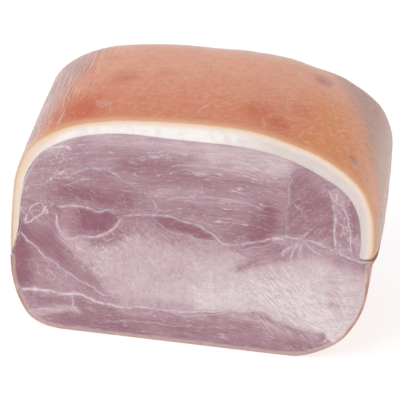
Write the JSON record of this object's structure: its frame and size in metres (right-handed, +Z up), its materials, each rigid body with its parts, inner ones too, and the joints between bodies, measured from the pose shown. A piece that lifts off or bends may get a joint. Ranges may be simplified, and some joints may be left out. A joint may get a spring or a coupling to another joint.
{
  "type": "boneless cooked ham",
  "caption": "Boneless cooked ham pressed in a mould and cut across, with a cap of white fat and orange rind over the pink lean.",
  "frame": {"origin": "middle of the underside of the whole piece's box, on the surface that it rests on", "axes": "+X across the cut to the right as seen from the cut, +Y from the cut towards the rounded far end, +Z up"},
  "size_m": [0.2366, 0.124, 0.1662],
  "materials": {
    "lean_meat": "moist cut meat, muscle grain and pale seams",
    "fat_and_rind": "smooth waxy orange rind over white fat"
  },
  "bodies": {
    "root": {"lean": "lean_meat", "fat_with_rind": "fat_and_rind"}
  },
  "joints": []
}
